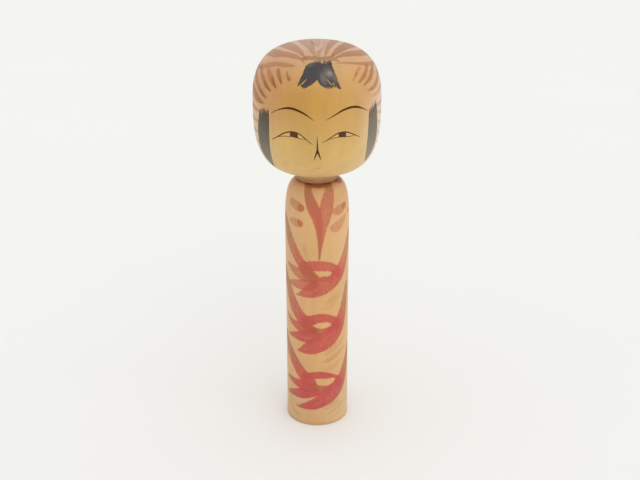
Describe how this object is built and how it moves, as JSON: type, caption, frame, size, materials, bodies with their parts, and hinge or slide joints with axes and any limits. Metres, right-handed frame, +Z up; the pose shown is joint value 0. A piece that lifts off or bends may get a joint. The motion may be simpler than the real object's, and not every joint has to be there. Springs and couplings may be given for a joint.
{
  "type": "kokeshi doll",
  "caption": "Traditional turned-wood kokeshi doll: a large round head with a neck tenon plugged into a straight cylindrical body with rounded shoulders.",
  "frame": {"origin": "centre of the flat base, on the surface that the doll stands on", "axes": "+Z up along the turning axis of body and head, through the crown; the painted face looks along -Y; +X is the doll's own left hand, the viewer's right when facing it"},
  "size_m": [0.074, 0.074, 0.24],
  "materials": {
    "body_wood": "aged pale hardwood, waxed, with red, green and black dye painting",
    "head_wood": "aged pale hardwood, waxed, with black ink features and red dye hair ornament"
  },
  "bodies": {
    "body": {"body": "body_wood"},
    "head": {"head": "head_wood"}
  },
  "joints": [
    {"name": "head_turn", "type": "hinge", "parent": "body", "child": "head", "pos_m": [0, 0, 0.16], "axis": [0, 0, 1], "continuous": true}
  ]
}
